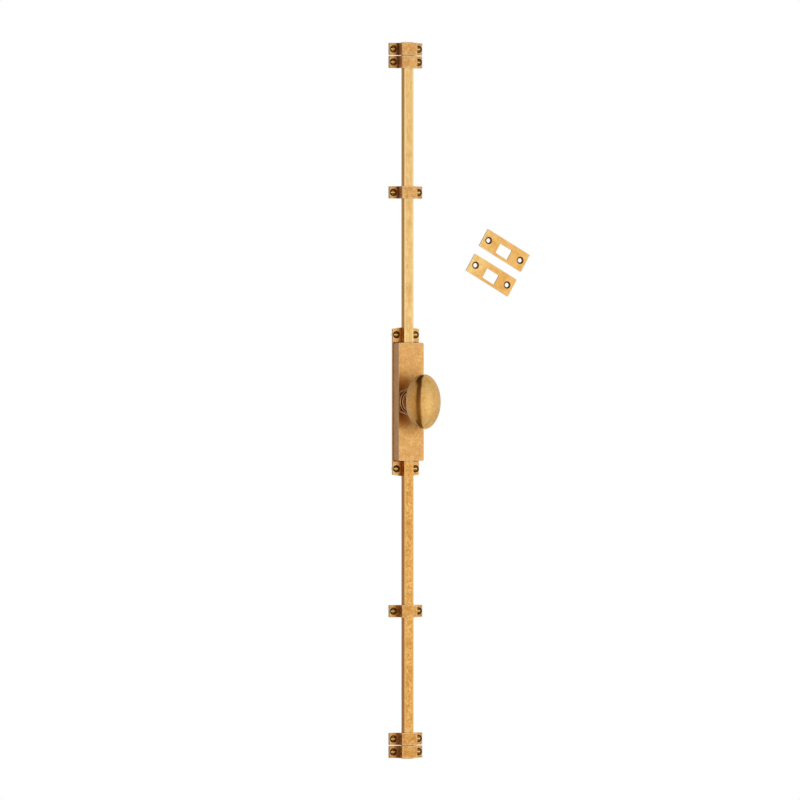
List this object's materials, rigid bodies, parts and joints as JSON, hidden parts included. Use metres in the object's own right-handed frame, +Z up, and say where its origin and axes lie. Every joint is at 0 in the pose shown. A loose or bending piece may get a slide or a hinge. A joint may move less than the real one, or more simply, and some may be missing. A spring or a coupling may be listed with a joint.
{
  "type": "cremone bolt",
  "caption": "Long surface bolt whose oval knob turns a pinion between racks and draws an upper and a lower rod out of their keepers, with guides and loose strike plates.",
  "frame": {"origin": "on the knob's axis at the gearbox's back face, which lies on the door", "axes": "+Z up along the rods, -Y from the door towards the person at the knob, +X to that person's right"},
  "size_m": [0.1724, 0.0788, 0.8092],
  "materials": {
    "cast_brass": "aged satin",
    "drawn_brass": "lightly aged polish",
    "inner_brass": "machined",
    "screw_brass": "dark aged satin",
    "steel": "machined"
  },
  "bodies": {
    "gearbox": {"base_plate": "cast_brass", "gearbox_cover": "cast_brass", "knob_rose": "cast_brass", "front_bush": "inner_brass", "cover_screws": "steel", "base_screws": "screw_brass", "upper_keeper": "cast_brass", "upper_end_guide": "cast_brass", "upper_mid_guide": "cast_brass", "lower_mid_guide": "cast_brass", "lower_end_guide": "cast_brass", "lower_keeper": "cast_brass", "upper_keeper_screws": "screw_brass", "upper_end_guide_screws": "screw_brass", "upper_mid_guide_screws": "screw_brass", "lower_mid_guide_screws": "screw_brass", "lower_end_guide_screws": "screw_brass", "lower_keeper_screws": "screw_brass", "strike_plate_upper": "drawn_brass", "strike_plate_lower": "drawn_brass"},
    "knob": {"knob": "cast_brass", "knob_set_screw": "steel", "spindle": "steel", "pinion": "steel"},
    "upper_rod": {"upper_rod": "drawn_brass", "upper_rack": "inner_brass", "upper_rack_screws": "steel"},
    "lower_rod": {"lower_rod": "drawn_brass", "lower_rack": "inner_brass", "lower_rack_screws": "steel"}
  },
  "joints": [
    {"name": "knob_turn", "type": "hinge", "parent": "gearbox", "child": "knob", "pos_m": [0, 0, 0], "axis": [0, 1, 0], "range_deg": [0, 180]},
    {"name": "upper_rod_slide", "type": "slide", "parent": "gearbox", "child": "upper_rod", "axis": [0, 0, 1], "range_m": [-0.022, 0]},
    {"name": "lower_rod_slide", "type": "slide", "parent": "gearbox", "child": "lower_rod", "axis": [0, 0, 1], "range_m": [0, 0.022]}
  ],
  "couplings": [
    {"joint": "upper_rod_slide", "follows": "knob_turn", "m_per_rad": -0.007},
    {"joint": "lower_rod_slide", "follows": "knob_turn", "m_per_rad": 0.007}
  ]
}
